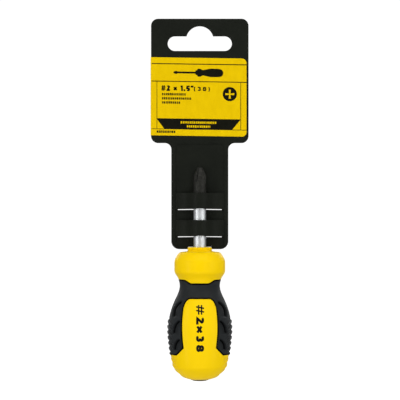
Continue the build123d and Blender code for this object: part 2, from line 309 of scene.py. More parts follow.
def from_border(points):
    """Distance of each point from the border."""
    flat = points.reshape(-1, 3)
    away = np.empty(len(flat))
    for k in range(0, len(flat), MEASURED_AT_ONCE):
        part = flat[k : k + MEASURED_AT_ONCE, None, :] - BORDER[None]
        away[k : k + MEASURED_AT_ONCE] = np.sqrt((part**2).sum(-1)).min(1)
    return away.reshape(points.shape[:-1])


def rolled(away, roll, drop):
    """How far a surface rolls down towards the border, at distances from it."""
    inside = 1 - np.clip(away / roll, 0, 1)
    return drop * (1 - np.sqrt(1 - inside**2))


def ease(x):
    x = np.clip(x, 0, 1)
    return x * x * (3 - 2 * x)


def ribs(angle, z, r):
    """Chevron ribs round the side of the pad: their relief, and the painted shade in the valleys between
    them.
    """
    arc = (math.pi / 2 - angle) * r
    line = z + RIB_SLANT * arc
    off = np.abs(line - RIB_FIRST)
    for k in range(1, RIB_COUNT):
        off = np.minimum(off, np.abs(line - (RIB_FIRST - k * RIB_PITCH)))
    crest = 1 - ease((off - RIB_CREST) / RIB_FALL)
    valley = ease((off - VALLEY_FROM) / VALLEY_FALL) * (1 - ease((off - RIB_PITCH / 2) / VALLEY_RISE))
    past = r * np.sin(angle) - RIB_BAND
    band = ease(past / BAND_SLOW) * BAND_SLOW_SHARE + (1 - BAND_SLOW_SHARE) * ease(past / BAND_FAST)
    return (RIB_HEIGHT * crest - RIB_VALLEY * valley) * band, VALLEY_SHADE * valley * band


def butt_waves(angle, z, r):
    """Relief of the low waves on the butt's two sides."""
    line = z + RIB_SLANT * (math.pi / 2 - angle) * r
    wave = np.cos((line - WAVE_FIRST) / WAVE_PITCH * 2 * math.pi)
    side = ease((np.sin(angle) - WAVE_SIDE) / WAVE_SIDE_FADE)
    return (WAVE_HEIGHT * wave - WAVE_SINK) * side * ease(WAVE_START - z) * ease(z - WAVE_END)


def scallop(curve_points, x, z):
    """A thumb scoop: a lip with a groove along it, fading inwards. Gives its depth and its painted shade: a
    darkened pocket and a dark line along the groove.
    """
    curve = smooth_curve(curve_points, per=24)
    run = length_of(curve) / length_of(curve)[-1]
    p = np.stack([x.ravel(), z.ravel()], -1)
    gap = p[:, None, :] - curve[None]
    dist = np.sqrt((gap**2).sum(-1))
    near = dist.argmin(1)
    d = np.gradient(curve, axis=0)[near]
    g = gap[np.arange(len(p)), near]
    inward = -dist[np.arange(len(p)), near] * np.sign(d[:, 0] * g[:, 1] - d[:, 1] * g[:, 0])
    ending = ease((run[near] - SCALLOP_LAST) / (1 - SCALLOP_LAST))
    strength = ease(run[near] / SCALLOP_START) * (1 - ending)
    pocket = np.where(inward > 0, 1 - ease(inward / SCALLOP_FADE), 1 - ease(-inward / SCALLOP_LIP))
    groove = 1 - ease(np.abs(inward - GROOVE_AT) / GROOVE_HALF)
    depth = (SCALLOP_DEPTH * pocket + GROOVE_DEPTH * groove) * strength
    # Painted shade: a dark line along the groove, and the pocket darkened
    line = 1 - ease(np.abs(inward - GROOVE_AT) / GROOVE_SHADE)
    shade = np.maximum(SCALLOP_SHADE * pocket, line) * strength
    return depth.reshape(x.shape), shade.reshape(x.shape)


def grip_relief(angle, z, r):
    """How far the grip's surface stands off the smooth outline, and how much painted shade it gets there."""
    x = r * np.sin(angle)
    down, dark = np.zeros_like(z), np.zeros_like(z)
    for curve in SCALLOPS:
        depth, shade = scallop(curve, x, z)
        down, dark = np.maximum(down, depth), np.maximum(dark, shade)
    up, valley = ribs(angle, z, r)
    return up - down, np.maximum(dark, valley)


# ---------------------------------------------------------------- mesh making
class Build:
    """Collects grids of points and makes one clean mesh of them."""

    def __init__(self):
        self.verts, self.faces, self.shade = [], [], []

    def grid(self, points, flip=False, shade=None):
        n, m = points.shape[:2]
        base = len(self.verts)
        self.verts.extend(points.reshape(-1, 3).tolist())
        self.shade.extend((np.zeros((n, m)) if shade is None else shade).ravel().tolist())
        for i in range(n - 1):
            for j in range(m - 1):
                a = base + i * m + j
                quad = (a, a + 1, a + m + 1, a + m)
                self.faces.append(quad[::-1] if flip else quad)

    def mirrored(self, points, shade=None):
        """The quarter and its three mirror images."""
        for sx in (1, -1):
            for sy in (1, -1):
                self.grid(points * np.array([sx, sy, 1.0]), sx * sy < 0, shade)

    def finish(self, name, offset, sharp=38, weld=0.0015):
        mesh = bpy.data.meshes.new(name)
        place_at = np.array(self.verts) + np.asarray(offset)
        mesh.from_pydata((place_at * MM).tolist(), [], self.faces)
        # Each point's painted shade, kept as the mesh's shade attribute for the rubber's colour
        mesh.attributes.new("shade", "FLOAT", "POINT").data.foreach_set("value", self.shade)
        bm = bmesh.new()
        bm.from_mesh(mesh)
        bmesh.ops.remove_doubles(bm, verts=bm.verts, dist=weld * MM)
        bmesh.ops.dissolve_degenerate(bm, edges=bm.edges, dist=weld * MM)
        bmesh.ops.recalc_face_normals(bm, faces=bm.faces)
        bm.to_mesh(mesh)
        bm.free()
        mesh.polygons.foreach_set("use_smooth", [True] * len(mesh.polygons))
        mesh.set_sharp_from_angle(angle=math.radians(sharp))
        mesh.update()
        obj = bpy.data.objects.new(name, mesh)
        bpy.context.scene.collection.objects.link(obj)
        return obj


def make_grip():
    r = radius(grip_height)
    base = place(grip_angle, grip_height, r)
    lift, shade = grip_relief(grip_angle, grip_height, r)
    away = from_border(base)
    outer = place(grip_angle, grip_height, r + lift - rolled(away, GRIP_ROLL, GRIP_DROP))
    inner = place(grip_angle, grip_height, r - GRIP_DEPTH)
    build = Build()
    # Painted shade for the rubber: the scoops and rib valleys, and a dark band beside the border
    build.mirrored(outer, np.maximum(shade, 1 - ease((away - BORDER_SHADE[0]) / BORDER_SHADE[1])))
    build.mirrored(inner[:, ::-1])
    build.mirrored(np.stack([outer[:, 0], inner[:, 0]]))
    build.mirrored(np.stack([outer[: FLANK_ROW + 1, -1], inner[: FLANK_ROW + 1, -1]]))
    build.mirrored(np.stack([outer[-1], inner[-1]]))
    return build.finish("grip_sleeve", TOOL, sharp=50)


def shell_surface(angle, z, r=None):
    r = radius(z) if r is None else r
    base = place(angle, z, r)
    return place(angle, z, r - rolled(from_border(base), SHELL_ROLL, SHELL_DROP))


def make_shell():
    build = Build()
    top_angle = grip_angle[: FLANK_ROW + 1, -1]
    top_height = grip_height[: FLANK_ROW + 1, -1]
    columns = len(top_angle)

    collar = rounded(COLLAR + [tuple(shoulder_curve[6])], COLLAR_ROUND)
    # every few points of the dense curves, starting just past the collar's last one
    ball = [shoulder_curve[9::5], ball_curve[2::2], under_curve[5:40:5]]
    profile = np.vstack([[(BORE, 0.0)], collar, *ball])
    rings = [place(top_angle, np.full(columns, z), np.full(columns, r)) for r, z in profile]
    last = profile[-1, 1]
    shares = spread(N_NECK, NECK_LENGTH, near=False)
    for share in shares[1:]:
        rings.append(shell_surface(top_angle, last + (top_height - last) * share))
    build.mirrored(np.array(rings))

    # window and the front of the butt
    top = inner_top
    right = inner_xz[n_top:]
    rows = len(right)
    u = length_of(top) / length_of(top)[-1]
    v = (right[0, 1] - right[:, 1]) / (right[0, 1] - GRIP_FOOT)
    left = np.stack([np.zeros(rows), WINDOW_TOP + v * (GRIP_FOOT - WINDOW_TOP)], -1)
    bottom = np.stack([u * PAD_FOOT, np.full(len(u), GRIP_FOOT)], -1)
    uu, vv = u[None, :, None], v[:, None, None]
    blend = (1 - vv) * top[None] + vv * bottom[None] + (1 - uu) * left[:, None] + uu * right[:, None]
    upper_corners = (1 - uu) * (1 - vv) * top[0] + uu * (1 - vv) * top[-1]
    blend = blend - (upper_corners + (1 - uu) * vv * bottom[0] + uu * vv * bottom[-1])
    window_angle = angle_of(blend[..., 0], blend[..., 1])
    build.mirrored(shell_surface(window_angle, blend[..., 1])[:, ::-1])

    # butt, below the pads
    butt_angle = np.concatenate([window_angle[-1], grip_angle[-1, 1:]])
    lower = np.vstack([side_curve[side_curve[:, 1] < GRIP_FOOT], butt_curve[1:]]) - (SKIN, 0)
    lower = np.vstack([[(radius(GRIP_FOOT), GRIP_FOOT)], lower])
    ring_at = along(lower, spread(N_BUTT, length_of(lower)[-1], far=False))
    rings = []
    for r, z in ring_at:
        heights = np.full(len(butt_angle), z)
        rings.append(shell_surface(butt_angle, heights, r + butt_waves(butt_angle, heights, r)))
    core = [(CORE, z) for z in (CORE_STEP_HIGH, *CORE_RINGS, BORE_END)]
    cavity = np.array([(BUTT[-1][0], CORE_STEP_LOW), *core, (BORE, BORE_END), (BORE, 0.0)])
    way = length_of(cavity)
    for (r, z), share in zip(cavity, way / way[-1]):
        turned = butt_angle * (1 - share) + top_angle * share
        rings.append(place(turned, np.full(columns, z), np.full(columns, r)))
    build.mirrored(np.array(rings))

    # pocket that the grip sits in
    r = radius(grip_height)
    floor = place(grip_angle, grip_height, r - GRIP_DEPTH - POCKET_GAP)
    rim = shell_surface(grip_angle, grip_height)
    build.mirrored(floor)
    build.mirrored(np.stack([rim[:, 0], floor[:, 0]]))
    build.mirrored(np.stack([rim[: FLANK_ROW + 1, -1], floor[: FLANK_ROW + 1, -1]]))
    build.mirrored(np.stack([rim[-1], floor[-1]]))
    return build.finish("yellow_shell", TOOL)


# ---------------------------------------------------------------- label and its print
LABEL_LEFT, LABEL_RIGHT = label_low.x / MM, label_high.x / MM
LABEL_TOP, LABEL_FOOT = label_high.z / MM, label_low.z / MM
LABEL_FRONT, LABEL_BACK = label_low.y / MM, label_high.y / MM
LABEL_X, LABEL_Z = (LABEL_LEFT + LABEL_RIGHT) / 2, (LABEL_TOP + LABEL_FOOT) / 2
LABEL_SKEW = 0.0148
LABEL_SHEET, LABEL_CORNER, LABEL_FOLD = 0.19, 2.2, 0.42
LABEL_ROWS, LABEL_COLUMNS, FOLD_STEPS = 31, 22, 7
CORNER_STEPS = [0, 0.06, 0.18, 0.4, 0.7, 1.05, 1.45, 1.9]
INK, UNDER_INK = 0.018, 0.01
KNOCKOUT_STEP = 1.6 * INK


def skewed(x, z):
    return z - LABEL_SKEW * (x - LABEL_X)


def make_label_sheet():
    """Card stock wrapped round the card's left edge."""
    reach = LABEL_SKEW * (LABEL_RIGHT - LABEL_X)
    top, foot, corner, fold = LABEL_TOP - reach, LABEL_FOOT + reach, LABEL_CORNER, LABEL_FOLD
    flat = LABEL_RIGHT - LABEL_LEFT - fold
    run = np.array(CORNER_STEPS + list(np.linspace(corner, flat, LABEL_COLUMNS)))
    # each column: place, outward direction and distance from the label's right edge
    front = [(LABEL_RIGHT - s, LABEL_FRONT, 0.0, -1.0, s) for s in run]
    back = [(LABEL_RIGHT - s, LABEL_BACK, 0.0, 1.0, s) for s in run[::-1]]
    turns = np.linspace(0, math.pi / 2, FOLD_STEPS)
    left = []
    for middle, quarter in ((LABEL_FRONT + fold, turns[1:]), (LABEL_BACK - fold, turns[:-1] + math.pi / 2)):
        for turn in quarter:
            nx, ny = -math.sin(turn), -math.cos(turn)
            left.append((LABEL_LEFT + fold + fold * nx, middle + fold * ny, nx, ny, flat))
    outer, inner = [], []
    rows = np.linspace(0, 1, LABEL_ROWS)
    for x, y, nx, ny, s in front + left + back:
        cut = corner - math.sqrt(max(corner**2 - (corner - min(s, corner)) ** 2, 0.0))
        heights = (top - cut) + rows * (foot - top + 2 * cut)
        z = skewed(x, heights)
        outer.append(np.stack([np.full(LABEL_ROWS, x), np.full(LABEL_ROWS, y), z], -1))
        shift = np.array([nx, ny, 0.0]) * LABEL_SHEET
        inner.append(outer[-1] - shift)
    outer, inner = np.array(outer), np.array(inner)
    build = Build()
    build.grid(outer)
    build.grid(inner, True)
    build.grid(np.stack([outer[:, 0], inner[:, 0]]))
    build.grid(np.stack([outer[:, -1], inner[:, -1]]))
    build.grid(np.stack([outer[0], inner[0]]))
    build.grid(np.stack([outer[-1], inner[-1]]))
    return build.finish("label_sheet", (0, 0, 0), sharp=50)


def ribbon(path, width, closed=False):
    """A flat stroke along 2-D points, as a 2 x n grid with mitred joints."""
    p = np.array(path, float)
    if closed:
        before, after = np.roll(p, 1, 0), np.roll(p, -1, 0)
    else:
        before, after = np.vstack([p[:1] * 2 - p[1:2], p[:-1]]), np.vstack([p[1:], p[-1:] * 2 - p[-2:-1]])
    a, b = p - before, after - p
    a, b = a / np.linalg.norm(a, axis=1)[:, None], b / np.linalg.norm(b, axis=1)[:, None]
    mid = a + b
    mid = mid / np.linalg.norm(mid, axis=1)[:, None]
    normal = np.stack([-mid[:, 1], mid[:, 0]], -1)
    stretch = 1 / np.clip(np.abs((a * mid).sum(1)), 0.5, 1)
    off = normal * (width / 2 * stretch)[:, None]
    grid = np.stack([p + off, p + off / 3, p - off / 3, p - off])
    if closed:
        grid = np.concatenate([grid, grid[:, :1]], 1)
    return grid


def arc(cx, cy, rx, ry, start, end, steps=14):
    t = np.radians(np.linspace(start, end, steps))
    return [(cx + rx * math.cos(a), cy + ry * math.sin(a)) for a in t]


def fine(points, step=0.12):
    """The same polyline with more points on its straight runs."""
    out = [points[0]]
    for a, b in zip(points, points[1:]):
        n = max(1, int(math.dist(a, b) / step))
        out += [(a[0] + (b[0] - a[0]) * k / n, a[1] + (b[1] - a[1]) * k / n) for k in range(1, n + 1)]
    return out


def glyph(sign, w):
    """Strokes of a figure one unit high, its advance, with stroke width w."""
    h = w / 2
    if sign == "#":
        bars = [[(0.0, y), (0.74, y)] for y in (0.32, 0.68)]
        posts = [[(x, 0.0), (x + 0.12, 1.0)] for x in (0.14, 0.42)]
        return bars + posts, 0.74
    if sign == "x":
        return [[(0.02, 0.16), (0.5, 0.68)], [(0.02, 0.68), (0.5, 0.16)]], 0.52
    if sign == "1":
        return [[(0.02, 0.78), (0.2, 1 - h), (0.28, 1 - h)], [(0.28, 0.0), (0.28, 1.0)]], 0.36
    if sign == "2":
        head = arc(0.31, 0.71, 0.31 - h, 0.29 - h, 165, -38)
        return [head + [(h * 1.1, h), (0.64, h)]], 0.64
    tall = (1 - w) / 4
    if sign == "3":
        upper = arc(0.31, 1 - h - tall, 0.31 - h, tall, 150, -90)
        lower = arc(0.31, h + tall, 0.33 - h, tall, 90, -150)
        return [upper, lower], 0.64
    if sign == "5":
        bowl = arc(0.3, 0.32, 0.33 - h, 0.32 - h, 118, -150)
        return [[(0.58, 1 - h), (0.12, 1 - h), (0.08, 0.5)] + bowl], 0.64
    if sign == "8":
        upper = arc(0.33, 1 - h - tall, 0.31 - h, tall, 0, 360, 22)
        lower = arc(0.33, h + tall, 0.33 - h, tall, 0, 360, 24)
        return [upper, lower], 0.66
    if sign == ".":
        return [[(0.02, h), (0.02 + w, h)]], 0.06 + w
    if sign == '"':
        return [[(x, 0.66), (x, 1.0)] for x in (0.08, 0.3)], 0.4
    if sign == "(":
        return [arc(0.42, 0.42, 0.34, 0.66, 128, 232)], 0.3
    if sign == ")":
        return [arc(-0.1, 0.42, 0.34, 0.66, 52, -52)], 0.3
    return [], 0.3


# An arc with more points than this is a whole ring, and the hash has thinner strokes than the rest
RING_POINTS, HASH_THIN = 20, 0.62


def figures(text, height, gap, weight=0.2, wide=1.0):
    """Ribbons of a row of figures from (0, 0), and how long the row is."""
    made, at = [], 0.0
    for sign in text:
        strokes, advance = glyph(sign, weight)
        thick = weight * (HASH_THIN if sign == "#" else 1.0)
        for stroke in strokes:
            closed = len(stroke) > RING_POINTS
            points = stroke[:-1] if closed else fine(stroke)
            path = [(at + x * height * wide, y * height) for x, y in points]
            made.append(ribbon(path, thick * height, closed))
        at += advance * height * wide + gap
    return made, at - gap


def print_piece(name, grids, surface, body="hanger"):
    """Ink: flat grids of (u, v) laid on a surface, a hair thick."""
    build = Build()
    for g in grids:
        over = surface(g[..., 0], g[..., 1], INK)
        under = surface(g[..., 0], g[..., 1], -UNDER_INK)
        build.grid(over)
        build.grid(under, True)
        build.grid(np.stack([over[0], under[0]]))
        build.grid(np.stack([over[-1], under[-1]]))
        build.grid(np.stack([over[:, 0], under[:, 0]]))
        build.grid(np.stack([over[:, -1], under[:, -1]]))
    piece = build.finish(name, (0, 0, 0), sharp=30, weld=0.0005)
    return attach(piece, body)


def on_label(u, v, lift):
    """Label face: u right and v up from the label's middle."""
    x = LABEL_X + u
    return np.stack([x, np.full_like(x, LABEL_FRONT - lift), skewed(x, LABEL_Z + v)], -1)


def on_window(u, v, lift):
    """Handle front: u right and v down the handle from the collar."""
    r = radius(v) + lift
    return np.stack([u, AXIS_Y - np.sqrt(r**2 - u**2), COLLAR_Z + v], -1)


# Layout of the label's print, as (u, v): across and up from the label's middle
RULES = ((15.45, 15.9), (7.1, 7.5))
RULE_START = 0.5
SIDE_RULES, SIDE_RULE_HALF, SIDE_RULE_FOOT = (-19.95, 20.2), 0.13, -15.4
PICTOGRAM_AT, PICTOGRAM_HALF = (-12.05, 11.8, 11.6), 2.05
PICTOGRAM = (
    (0.0, 0.12), (0.03, 0.3), (0.05, 0.34), (0.07, 0.34), (0.075, 0.22), (0.44, 0.22), (0.445, 0.5),
    (0.465, 0.56), (0.475, 0.56), (0.48, 0.82), (0.5, 0.93), (0.54, 0.93), (0.57, 0.72), (0.6, 0.62),
    (0.66, 0.78), (0.74, 0.98), (0.82, 1.0), (0.92, 0.94), (0.97, 0.78), (0.99, 0.5), (1.0, 0.2),
)
SIZE_AT, SIZE_HEIGHT, SIZE_GAP, SIZE_WEIGHT = (-17.8, 2.7), 2.65, 0.5, 0.3
METRIC_AT, METRIC_HEIGHT, METRIC_GAP, METRIC_WEIGHT, METRIC_WIDE = (-2.3, 2.85), 2.0, 0.55, 0.245, 1.6
CROSS_AT, DISC_RADIUS, CROSS_REACH, CROSS_WIDTH = (14.95, 1.55), 3.4, 2.15, 0.86
BANNER = (((-20.2, -10.5), (-16.3, -15.7)), ((20.25, -10.5), (15.95, -15.7)))
FOOT_RULE, FOOT_RULE_LEFT_END, FOOT_RULE_RIGHT_START = (-15.72, -15.45), -16.25, 15.9

# Rows of dashes where small text would be: start, end, middle height, block height, seed
BLACK_DASHES = (
    (-17.5, -6.2, 1.1, 1.1, 1), (-17.5, -3.6, -0.9, 1.1, 2),
    (-17.5, -8.8, -2.87, 1.1, 3), (-20.0, -11.1, -16.9, 1.1, 4),
)
YELLOW_DASHES = ((-8.6, 8.5, -12.3, 1.05, 5), (-5.6, 5.6, -14.2, 1.05, 6))
DASH_LENGTHS, DASH_GAPS, DASH_SHORTEST = (0.45, 0.8), (0.22, 0.34), 0.3

# Size figures down the handle: how they are drawn, then the span they are centred in, measured down
# from the collar, and their shift sideways to the handle's middle
MARK_HEIGHT, MARK_GAP, MARK_WEIGHT, MARK_WIDE = 3.8, 0.75, 0.3, 1.6
MARK_TOP, MARK_SPAN, MARK_SHIFT = -27.0, 22.6, 1.75


def bar(u0, u1, v0, v1, cells=2):
    us, vs = np.linspace(u0, u1, cells), np.linspace(v0, v1, 2)
    return np.stack(np.meshgrid(us, vs, indexing="ij"), -1)


def dashes(u0, u1, v, height, seed):
    """A row of short unlettered blocks, where small text would be."""
    rng = np.random.default_rng(seed)
    made, at = [], u0
    while at < u1 - DASH_SHORTEST:
        size = min(rng.uniform(*DASH_LENGTHS), u1 - at)
        made.append(bar(at, at + size, v - height / 2, v + height / 2))
        at += size + rng.uniform(*DASH_GAPS)
    return made


def disc(u, v, r, rings=4, around=48):
    t = np.linspace(0, 2 * math.pi, around + 1)
    rr = np.linspace(0.02, r, rings + 1)
    return np.stack([u + rr[:, None] * np.cos(t), v + rr[:, None] * np.sin(t)], -1)


def pictogram(u0, u1, v):
    """A plain screwdriver lying on its side, tip to the left."""
    shape = np.array(PICTOGRAM)
    at = u0 + shape[:, 0] * (u1 - u0)
    h = shape[:, 1] * PICTOGRAM_HALF
    return [np.stack([np.stack([at, v - h], -1), np.stack([at, v + h], -1)], 1)]


def cross_mark(u, v, reach, width):
    """The drive's cross: a middle square and four arms that widen outwards."""
    near, far = width * 0.36, width * 0.62
    made = [bar(u - near, u + near, v - near, v + near)]
    for c, t in ((1, 0), (0, 1), (-1, 0), (0, -1)):
        arm = np.array([[(near, -near), (near, near)], [(reach, -far), (reach, far)]])
        turned = np.stack([arm[..., 0] * c - arm[..., 1] * t, arm[..., 0] * t + arm[..., 1] * c], -1)
        made.append(turned + np.array([u, v]))
    return made


def make_print():
    edge_left, edge_right = LABEL_LEFT - LABEL_X + RULE_START, LABEL_RIGHT - LABEL_X
    black = [bar(edge_left, edge_right, low, high, 12) for low, high in RULES]
    black += pictogram(*PICTOGRAM_AT)
    black += [bar(u - SIDE_RULE_HALF, u + SIDE_RULE_HALF, SIDE_RULE_FOOT, RULES[1][0]) for u in SIDE_RULES]
    size_line = figures('#2 x 1.5"', SIZE_HEIGHT, SIZE_GAP, SIZE_WEIGHT)[0]
    black += [g + np.array(SIZE_AT) for g in size_line]
    metric = figures("(38)", METRIC_HEIGHT, METRIC_GAP, METRIC_WEIGHT, METRIC_WIDE)[0]
    black += [g + np.array(METRIC_AT) for g in metric]
    black.append(disc(*CROSS_AT, DISC_RADIUS))
    banner = np.array(BANNER)
    share = np.linspace(0, 1, 10)[:, None, None]
    black.append(banner[:1] * (1 - share) + banner[1:] * share)
    for u0, u1 in ((edge_left, FOOT_RULE_LEFT_END), (FOOT_RULE_RIGHT_START, edge_right)):
        black.append(bar(u0, u1, *FOOT_RULE, 4))
    for row in BLACK_DASHES:
        black += dashes(*row)
    yellow = cross_mark(*CROSS_AT, CROSS_REACH, CROSS_WIDTH)
    for row in YELLOW_DASHES:
        yellow += dashes(*row)
    ink = print_piece("label_ink", black, on_label)

    def above(u, v, lift):
        return on_label(u, v, lift + KNOCKOUT_STEP)

    knockout = print_piece("label_knockout", yellow, above)
    return ink, knockout


def make_handle_mark():
    """Size figures down the front of the handle, read from the top."""
    row, total = figures("#2x38", MARK_HEIGHT, MARK_GAP, MARK_WEIGHT, MARK_WIDE)
    start = MARK_TOP - (MARK_SPAN - total) / 2
    turned = [np.stack([g[..., 1] - MARK_SHIFT, start - g[..., 0]], -1) for g in row]
    return print_piece("handle_mark", turned, on_window, "screwdriver")


# ---------------------------------------------------------------- materials
def linear(r, g, b):
    out = []
    for c in (r, g, b):
        c = c / 255
        out.append(c / 12.92 if c <= 0.04045 else ((c + 0.055) / 1.055) ** 2.4)
    return (*out, 1.0)


class Finish:
    """A node material round one Principled shader."""

    def __init__(self, name, **sockets):
        self.material = bpy.data.materials.new(name)
        self.material.use_nodes = True
        self.nodes, self.links = self.material.node_tree.nodes, self.material.node_tree.links
        self.shader = self.nodes["Principled BSDF"]
        self.position = self.node("ShaderNodeTexCoord").outputs["Object"]
        for key, value in sockets.items():
            self.shader.inputs[key.replace("_", " ")].default_value = value

    def node(self, kind, **settings):
        made = self.nodes.new(kind)
        for key, value in settings.items():
            setattr(made, key, value)
        return made

    def noise(self, scale, detail=3.0, rough=0.55, stretch=None):
        made = self.node("ShaderNodeTexNoise")
        made.inputs["Scale"].default_value = scale
        made.inputs["Detail"].default_value = detail
        made.inputs["Roughness"].default_value = rough
        source = self.position
        if stretch:
            mapping = self.node("ShaderNodeMapping")
            mapping.inputs["Scale"].default_value = stretch
            self.links.new(source, mapping.inputs["Vector"])
            source = mapping.outputs["Vector"]
        self.links.new(source, made.inputs["Vector"])
        return made.outputs["Fac"]

    def cells(self, scale):
        made = self.node("ShaderNodeTexVoronoi", feature="SMOOTH_F1")
        made.inputs["Scale"].default_value = scale
        self.links.new(self.position, made.inputs["Vector"])
        return made.outputs["Distance"]

    def spread_value(self, source, low, high, low_in=0.3, high_in=0.7):
        made = self.node("ShaderNodeMapRange")
        made.inputs["From Min"].default_value = low_in
        made.inputs["From Max"].default_value = high_in
        made.inputs["To Min"].default_value = low
        made.inputs["To Max"].default_value = high
        self.links.new(source, made.inputs["Value"])
        return made.outputs["Result"]

    def ramp(self, source, stops):
        made = self.node("ShaderNodeValToRGB")
        elements = made.color_ramp.elements
        while len(elements) < len(stops):
            elements.new(0.5)
        for element, (at, colour) in zip(elements, stops):
            element.position, element.color = at, colour
        self.links.new(source, made.inputs["Fac"])
        return made.outputs["Color"]

    def mix(self, share, a, b, blend="MIX"):
        made = self.node("ShaderNodeMix", data_type="RGBA", blend_type=blend)
        for socket, value in ((0, share), (6, a), (7, b)):
            if hasattr(value, "is_linked"):
                self.links.new(value, made.inputs[socket])
            else:
                made.inputs[socket].default_value = value
        return made.outputs[2]

    def add(self, *sources):
        total = sources[0]
        for source in sources[1:]:
            made = self.node("ShaderNodeMath", operation="ADD")
            self.links.new(total, made.inputs[0])
            self.links.new(source, made.inputs[1])
            total = made.outputs[0]
        return total

    def times(self, source, factor):
        made = self.node("ShaderNodeMath", operation="MULTIPLY")
        self.links.new(source, made.inputs[0])
        made.inputs[1].default_value = factor
        return made.outputs[0]

    def set(self, socket, source):
        self.links.new(source, self.shader.inputs[socket])

    def bump(self, source, distance, strength=1.0):
        made = self.node("ShaderNodeBump")
        made.inputs["Strength"].default_value = strength
        made.inputs["Distance"].default_value = distance
        self.links.new(source, made.inputs["Height"])
        self.links.new(made.outputs["Normal"], self.shader.inputs["Normal"])


def card_finish():
    """Black polypropylene with a spark-eroded grain."""
    f = Finish("card_plastic", Specular_IOR_Level=0.12, IOR=1.49)
    cloud = f.noise(60, 4)
    f.set("Base Color", f.ramp(cloud, [(0.3, linear(14, 17, 11)), (0.7, linear(21, 24, 17))]))
    f.set("Roughness", f.spread_value(f.noise(300, 3), 0.46, 0.6))
    f.bump(f.add(f.noise(3800, 2), f.times(f.noise(1500, 2), 0.5)), 0.00003, 0.5)
    return f.material


def label_finish(name, colours, rough):
    """Printed and varnished card stock."""
    f = Finish(name, Specular_IOR_Level=0.03, Coat_Weight=0.01, Coat_Roughness=0.2)
    fibres = f.noise(420, 5, 0.6, (1, 1, 0.4))
    f.set("Base Color", f.ramp(fibres, [(0.25, linear(*colours[0])), (0.75, linear(*colours[1]))]))
    f.set("Roughness", f.spread_value(f.noise(900, 3), rough - 0.05, rough + 0.07))
    f.bump(fibres, 0.00002, 0.35)
    return f.material


def yellow_finish():
    """Satin yellow polypropylene, a little cloudy."""
    f = Finish("yellow_plastic", IOR=1.49, Specular_IOR_Level=0.05, Coat_Weight=0.02, Coat_Roughness=0.12)
    cloud = f.noise(45, 4)
    f.set("Base Color", f.ramp(cloud, [(0.3, (0.94, 0.625, 0.0008, 1)), (0.7, (0.97, 0.65, 0.001, 1))]))
    f.set("Roughness", f.spread_value(f.noise(240, 3), 0.3, 0.38))
    f.bump(f.add(f.noise(520, 2), f.times(f.noise(2600, 2), 0.25)), 0.00002, 0.3)
    return f.material


def rubber_finish():
    """Thermoplastic rubber: fine matt grain, grey with a random tone, with painted shade near black in its
    grooves, scoops, rib valleys and beside its border.
    """
    f = Finish("grip_rubber", IOR=1.5, Sheen_Weight=0.02, Sheen_Roughness=0.4)
    cloud = f.noise(110, 5, 0.6)
    open_face = f.ramp(cloud, [(0.3, linear(17, 21, 23)), (0.7, linear(26, 30, 32))])
    # The shade attribute is painted shade: it darkens the base colour towards black and lowers the specular
    # level in the grooves, scoops, rib valleys and beside the border
    shade = f.node("ShaderNodeAttribute", attribute_name="shade").outputs["Fac"]
    f.set("Base Color", f.mix(shade, open_face, linear(3, 3, 3)))
    f.set("Specular IOR Level", f.spread_value(shade, 0.25, 0.01, 0.0, 0.9))
    f.set("Roughness", f.spread_value(f.noise(260, 3), 0.56, 0.7))
    f.bump(f.add(f.noise(3400, 2), f.times(f.cells(2600), 0.6)), 0.00004, 0.5)
    return f.material


def core_finish():
    """Black moulded plastic of the handle's core."""
    f = Finish("core_plastic", IOR=1.5, Specular_IOR_Level=0.2)
    f.set("Base Color", f.ramp(f.noise(90, 4), [(0.3, linear(16, 17, 15)), (0.7, linear(23, 24, 22))]))
    f.set("Roughness", f.spread_value(f.noise(300, 3), 0.42, 0.55))
    f.bump(f.noise(2200, 3), 0.00003, 0.4)
    return f.material


def blade_finish(chrome_top):
    """Chrome shank, and a blackened tip above chrome_top, a height in metres."""
    f = Finish("blade_steel", Specular_IOR_Level=0.25)
    split = f.node("ShaderNodeSeparateXYZ")
    f.links.new(f.position, split.inputs[0])
    ragged = f.times(f.noise(900, 3), 0.0006)
    tip = f.spread_value(f.add(split.outputs["Z"], ragged), 0.0, 1.0, chrome_top, chrome_top + 0.0006)
    drawn = f.noise(500, 4, 0.6, (9, 9, 0.25))
    chrome = f.ramp(drawn, [(0.25, (0.62, 0.64, 0.65, 1)), (0.75, (0.78, 0.8, 0.81, 1))])
    black = f.ramp(f.noise(700, 5, 0.6), [(0.3, linear(24, 24, 21)), (0.75, linear(47, 47, 42))])
    f.set("Base Color", f.mix(tip, chrome, black))
    f.set("Metallic", f.spread_value(tip, 1.0, 0.35, 0.0, 1.0))
    smooth = f.spread_value(drawn, 0.4, 0.5)
    coarse = f.spread_value(f.noise(800, 3), 0.42, 0.58)
    both = f.node("ShaderNodeMix", data_type="FLOAT")
    for socket, source in ((0, tip), (2, smooth), (3, coarse)):
        f.links.new(source, both.inputs[socket])
    f.set("Roughness", both.outputs[0])
    f.bump(f.add(f.times(drawn, 0.3), f.times(f.noise(2800, 2), 0.4)), 0.000004, 0.25)
    return f.material


def paint(obj, material):
    obj.data.materials.clear()
    obj.data.materials.append(material)
    return obj


# Height above the collar where the chrome ends, and the label's two yellows
CHROME_HEIGHT = 21.2
LABEL_YELLOW = ((222, 184, 1), (232, 195, 4))


